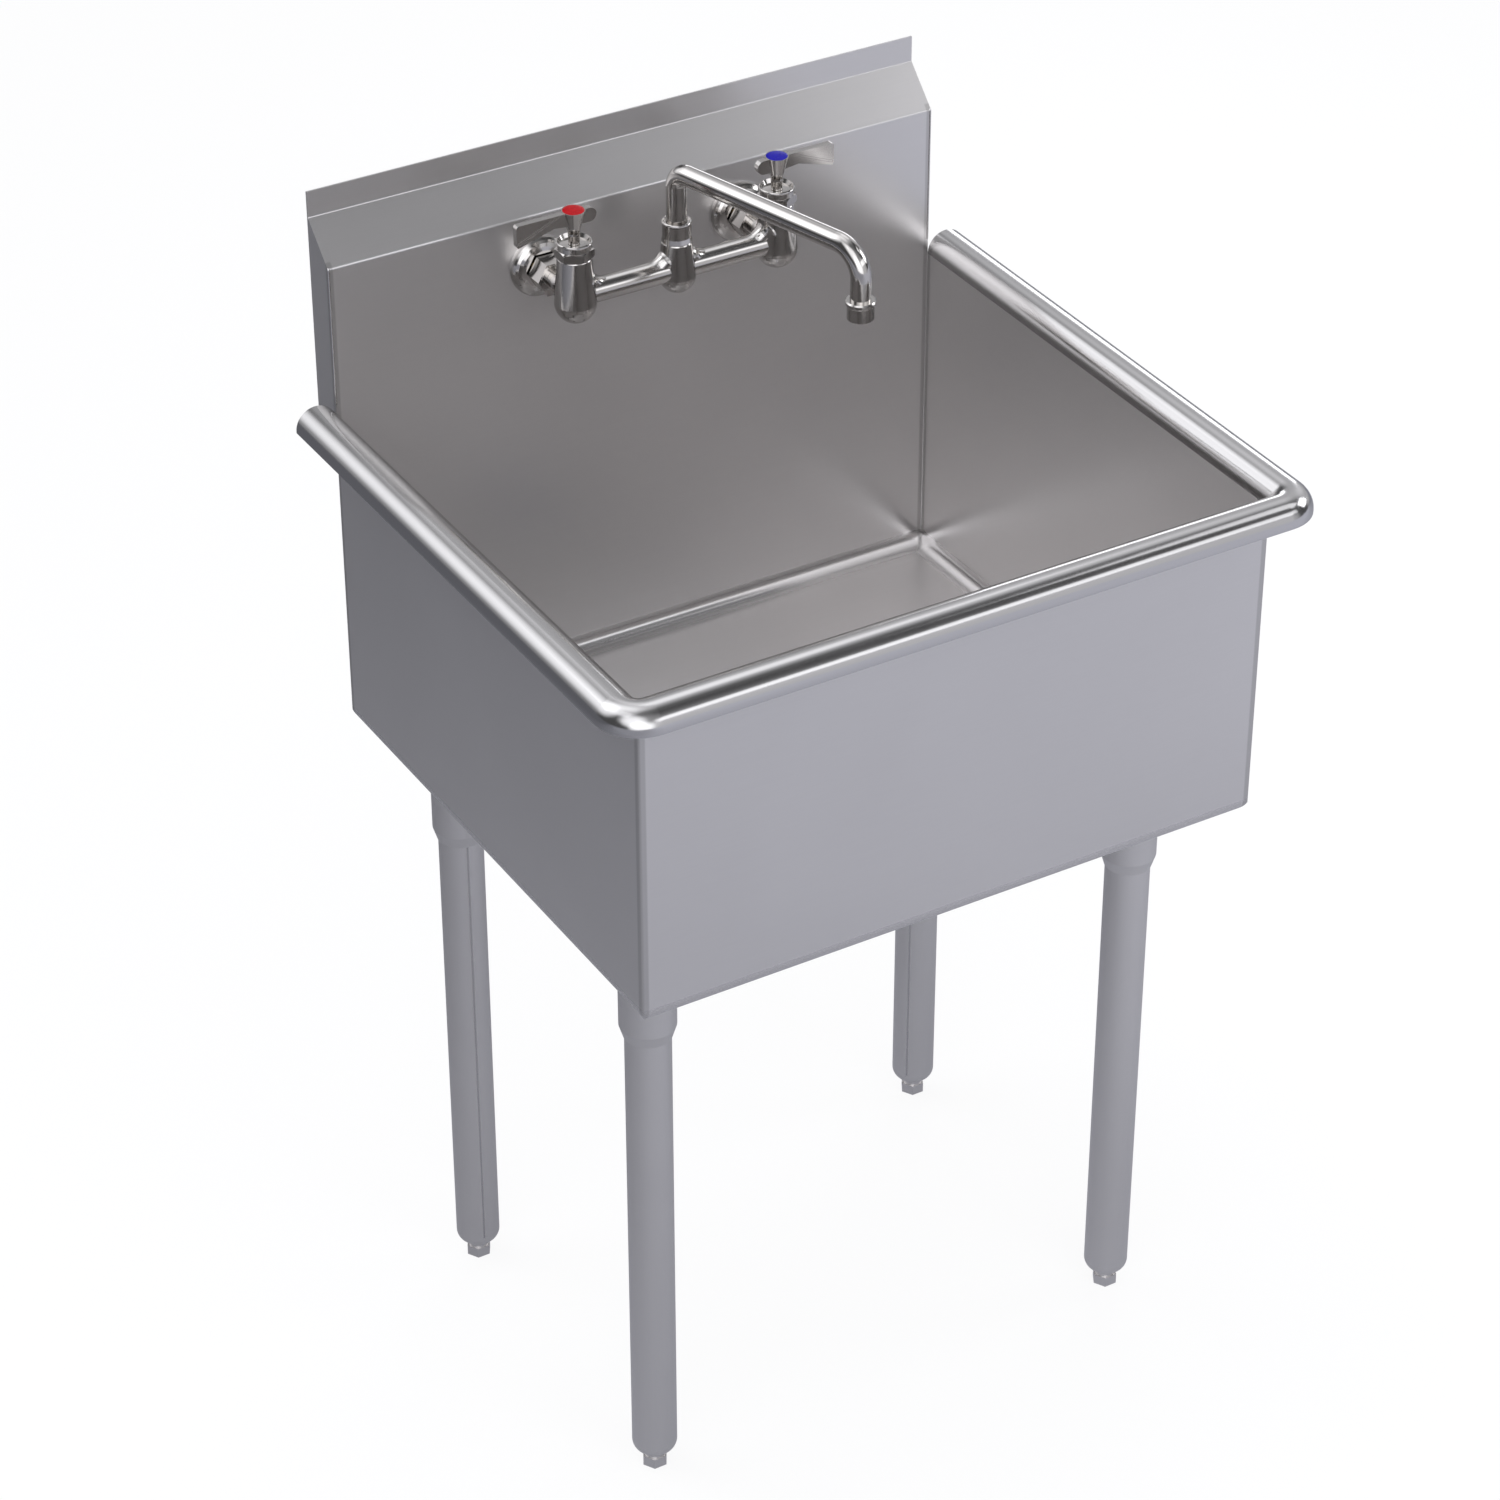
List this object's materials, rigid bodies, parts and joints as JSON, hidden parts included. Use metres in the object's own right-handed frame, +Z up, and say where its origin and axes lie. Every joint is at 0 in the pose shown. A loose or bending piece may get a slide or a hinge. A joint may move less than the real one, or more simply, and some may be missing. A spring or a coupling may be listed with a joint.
{
  "type": "utility laundry sink",
  "caption": "Free-standing deep stainless utility sink with a rolled rim and backsplash on tubular legs, with a wall-mounted bridge faucet, swing spout and basket drain.",
  "frame": {"origin": "on the floor under the middle of the sink's footprint", "axes": "+Z up, -Y is the front, +X is the right as seen from the front"},
  "size_m": [0.6872, 0.6082, 1.1004],
  "materials": {
    "sheet_steel": "satin",
    "rim_steel": "polished",
    "tube_steel": "satin",
    "chrome_plate": "mirror",
    "bright_steel": "bright",
    "brass": "machined",
    "black_rubber": "matte",
    "fibre": "matte",
    "white_nylon": "matte",
    "red_index": "gloss",
    "blue_index": "gloss"
  },
  "bodies": {
    "sink": {"bowl": "sheet_steel", "backsplash": "sheet_steel", "splash_end_left": "sheet_steel", "splash_end_right": "sheet_steel", "rolled_rim": "rim_steel", "rim_end_plates": "rim_steel", "leg_front_left": "tube_steel", "leg_front_right": "tube_steel", "leg_back_left": "tube_steel", "leg_back_right": "tube_steel", "socket_front_left": "tube_steel", "socket_front_right": "tube_steel", "socket_back_left": "tube_steel", "socket_back_right": "tube_steel", "faucet_body": "chrome_plate", "wall_flange_left": "chrome_plate", "wall_flange_right": "chrome_plate", "coupling_nut_left": "chrome_plate", "coupling_nut_right": "chrome_plate", "bonnet_left": "chrome_plate", "bonnet_right": "chrome_plate", "spout_nut": "chrome_plate", "drain_locknut": "chrome_plate", "tail_nut": "chrome_plate", "tailpiece": "chrome_plate", "drain_body": "bright_steel", "socket_set_screws": "bright_steel", "inlet_shank_left": "brass", "inlet_shank_right": "brass", "shank_locknuts": "brass", "cartridge_left": "brass", "cartridge_right": "brass", "drain_gasket": "black_rubber", "drain_slip_ring": "fibre", "shank_washers": "fibre", "foot_bushes": "white_nylon"},
    "hot_lever": {"stem_left": "brass", "handle_left": "chrome_plate", "handle_screw_left": "bright_steel", "index_hot": "red_index"},
    "cold_lever": {"stem_right": "brass", "handle_right": "chrome_plate", "handle_screw_right": "bright_steel", "index_cold": "blue_index"},
    "swing_spout": {"spout": "chrome_plate", "spout_seals": "black_rubber", "aerator_housing": "chrome_plate", "aerator_seal": "black_rubber", "aerator_screen": "white_nylon"},
    "strainer": {"strainer_basket": "bright_steel", "basket_stopper": "black_rubber", "basket_post": "bright_steel"},
    "levelling_foot_front_left": {"foot_front_left": "tube_steel"},
    "levelling_foot_front_right": {"foot_front_right": "tube_steel"},
    "levelling_foot_back_left": {"foot_back_left": "tube_steel"},
    "levelling_foot_back_right": {"foot_back_right": "tube_steel"}
  },
  "joints": [
    {"name": "hot_lever_turn", "type": "hinge", "parent": "sink", "child": "hot_lever", "pos_m": [-0.1016, 0.2021, 1.062], "axis": [0, 0, 1], "range_deg": [0, 90]},
    {"name": "cold_lever_turn", "type": "hinge", "parent": "sink", "child": "cold_lever", "pos_m": [0.1016, 0.2021, 1.062], "axis": [0, 0, 1], "range_deg": [-90, 0]},
    {"name": "spout_swing", "type": "hinge", "parent": "sink", "child": "swing_spout", "pos_m": [0, 0.2021, 1.022], "axis": [0, 0, 1], "range_deg": [-90.8, 59.2]},
    {"name": "strainer_lift", "type": "slide", "parent": "sink", "child": "strainer", "axis": [0, 0, 1], "range_m": [0, 0.05]},
    {"name": "foot_front_left_extend", "type": "slide", "parent": "sink", "child": "levelling_foot_front_left", "axis": [0, 0, -1], "range_m": [0, 0.025]},
    {"name": "foot_front_right_extend", "type": "slide", "parent": "sink", "child": "levelling_foot_front_right", "axis": [0, 0, -1], "range_m": [0, 0.025]},
    {"name": "foot_back_left_extend", "type": "slide", "parent": "sink", "child": "levelling_foot_back_left", "axis": [0, 0, -1], "range_m": [0, 0.025]},
    {"name": "foot_back_right_extend", "type": "slide", "parent": "sink", "child": "levelling_foot_back_right", "axis": [0, 0, -1], "range_m": [0, 0.025]}
  ]
}
